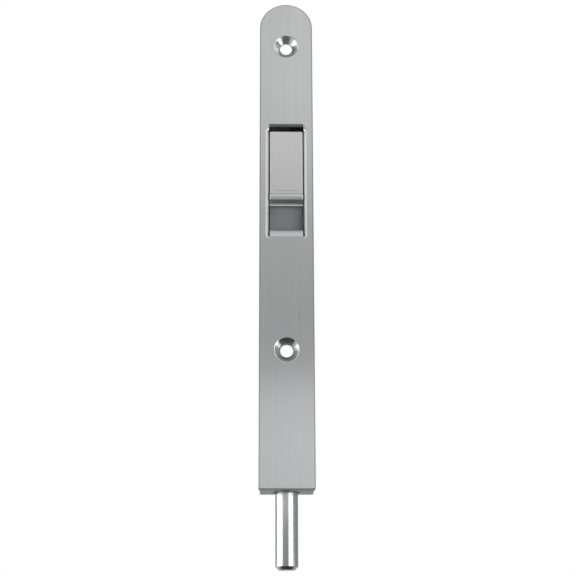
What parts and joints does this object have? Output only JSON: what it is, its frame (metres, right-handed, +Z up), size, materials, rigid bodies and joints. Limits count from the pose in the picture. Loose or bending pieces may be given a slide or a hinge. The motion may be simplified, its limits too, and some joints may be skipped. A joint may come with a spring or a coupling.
{
  "type": "flush bolt",
  "caption": "Lever flush bolt with a round-ended face plate, a hinged finger lever set flush in a window, and a round rod that slides out of the lower end.",
  "frame": {"origin": "midway between the two fixing screws, on the rear face of the face plate", "axes": "+Z up the door edge, away from the rod; -Y out of the door edge towards the hand; +X across the plate to the right as seen from the front"},
  "size_m": [0.02, 0.014, 0.215],
  "materials": {
    "satin_plate": "satin stainless steel, brushed along its length",
    "satin_lever": "satin nickel-plated zinc casting",
    "polished_rod": "polished bright steel",
    "plated_steel": "zinc-plated pressed steel",
    "dull_link": "dull blanked steel",
    "zinc_casting": "tumbled zinc die casting",
    "bearing_brass": "turned brass",
    "spring_steel": "tempered spring steel",
    "rivet_steel": "plated steel, peened"
  },
  "bodies": {
    "case": {"face_plate": "satin_plate", "lever_case": "plated_steel", "case_rivets": "rivet_steel", "lever_pivots": "rivet_steel", "pivot_washers": "rivet_steel", "rod_guide": "zinc_casting", "guide_bush": "bearing_brass", "guide_rivets": "rivet_steel", "strip_bridge": "plated_steel", "bridge_rivets": "rivet_steel", "detent_spring": "spring_steel", "spring_rivet": "rivet_steel"},
    "lever": {"lever": "satin_lever", "lever_bushes": "bearing_brass", "crank_pin": "rivet_steel", "link_washers": "rivet_steel"},
    "link": {"link": "dull_link", "link_pin": "rivet_steel", "link_pin_clip": "spring_steel"},
    "bolt": {"yoke": "plated_steel", "drive_strip": "plated_steel", "yoke_rivets": "rivet_steel", "rod": "polished_rod", "rod_pin": "rivet_steel"}
  },
  "joints": [
    {"name": "lever_hinge", "type": "hinge", "parent": "case", "child": "lever", "pos_m": [0, 0.0054, 0.0195], "axis": [-1, 0, 0], "range_deg": [0, 60]},
    {"name": "link_hinge", "type": "hinge", "parent": "lever", "child": "link", "pos_m": [0, 0.0012, -0.00005], "axis": [-1, 0, 0], "range_deg": [-120, 0]},
    {"name": "bolt_slide", "type": "slide", "parent": "case", "child": "bolt", "axis": [0, 0, 1], "range_m": [0, 0.02683]}
  ],
  "couplings": [
    {"joint": "link_hinge", "follows": "lever_hinge", "ratio": -2},
    {"joint": "bolt_slide", "follows": "lever_hinge", "m_per_rad": 0.025619}
  ]
}
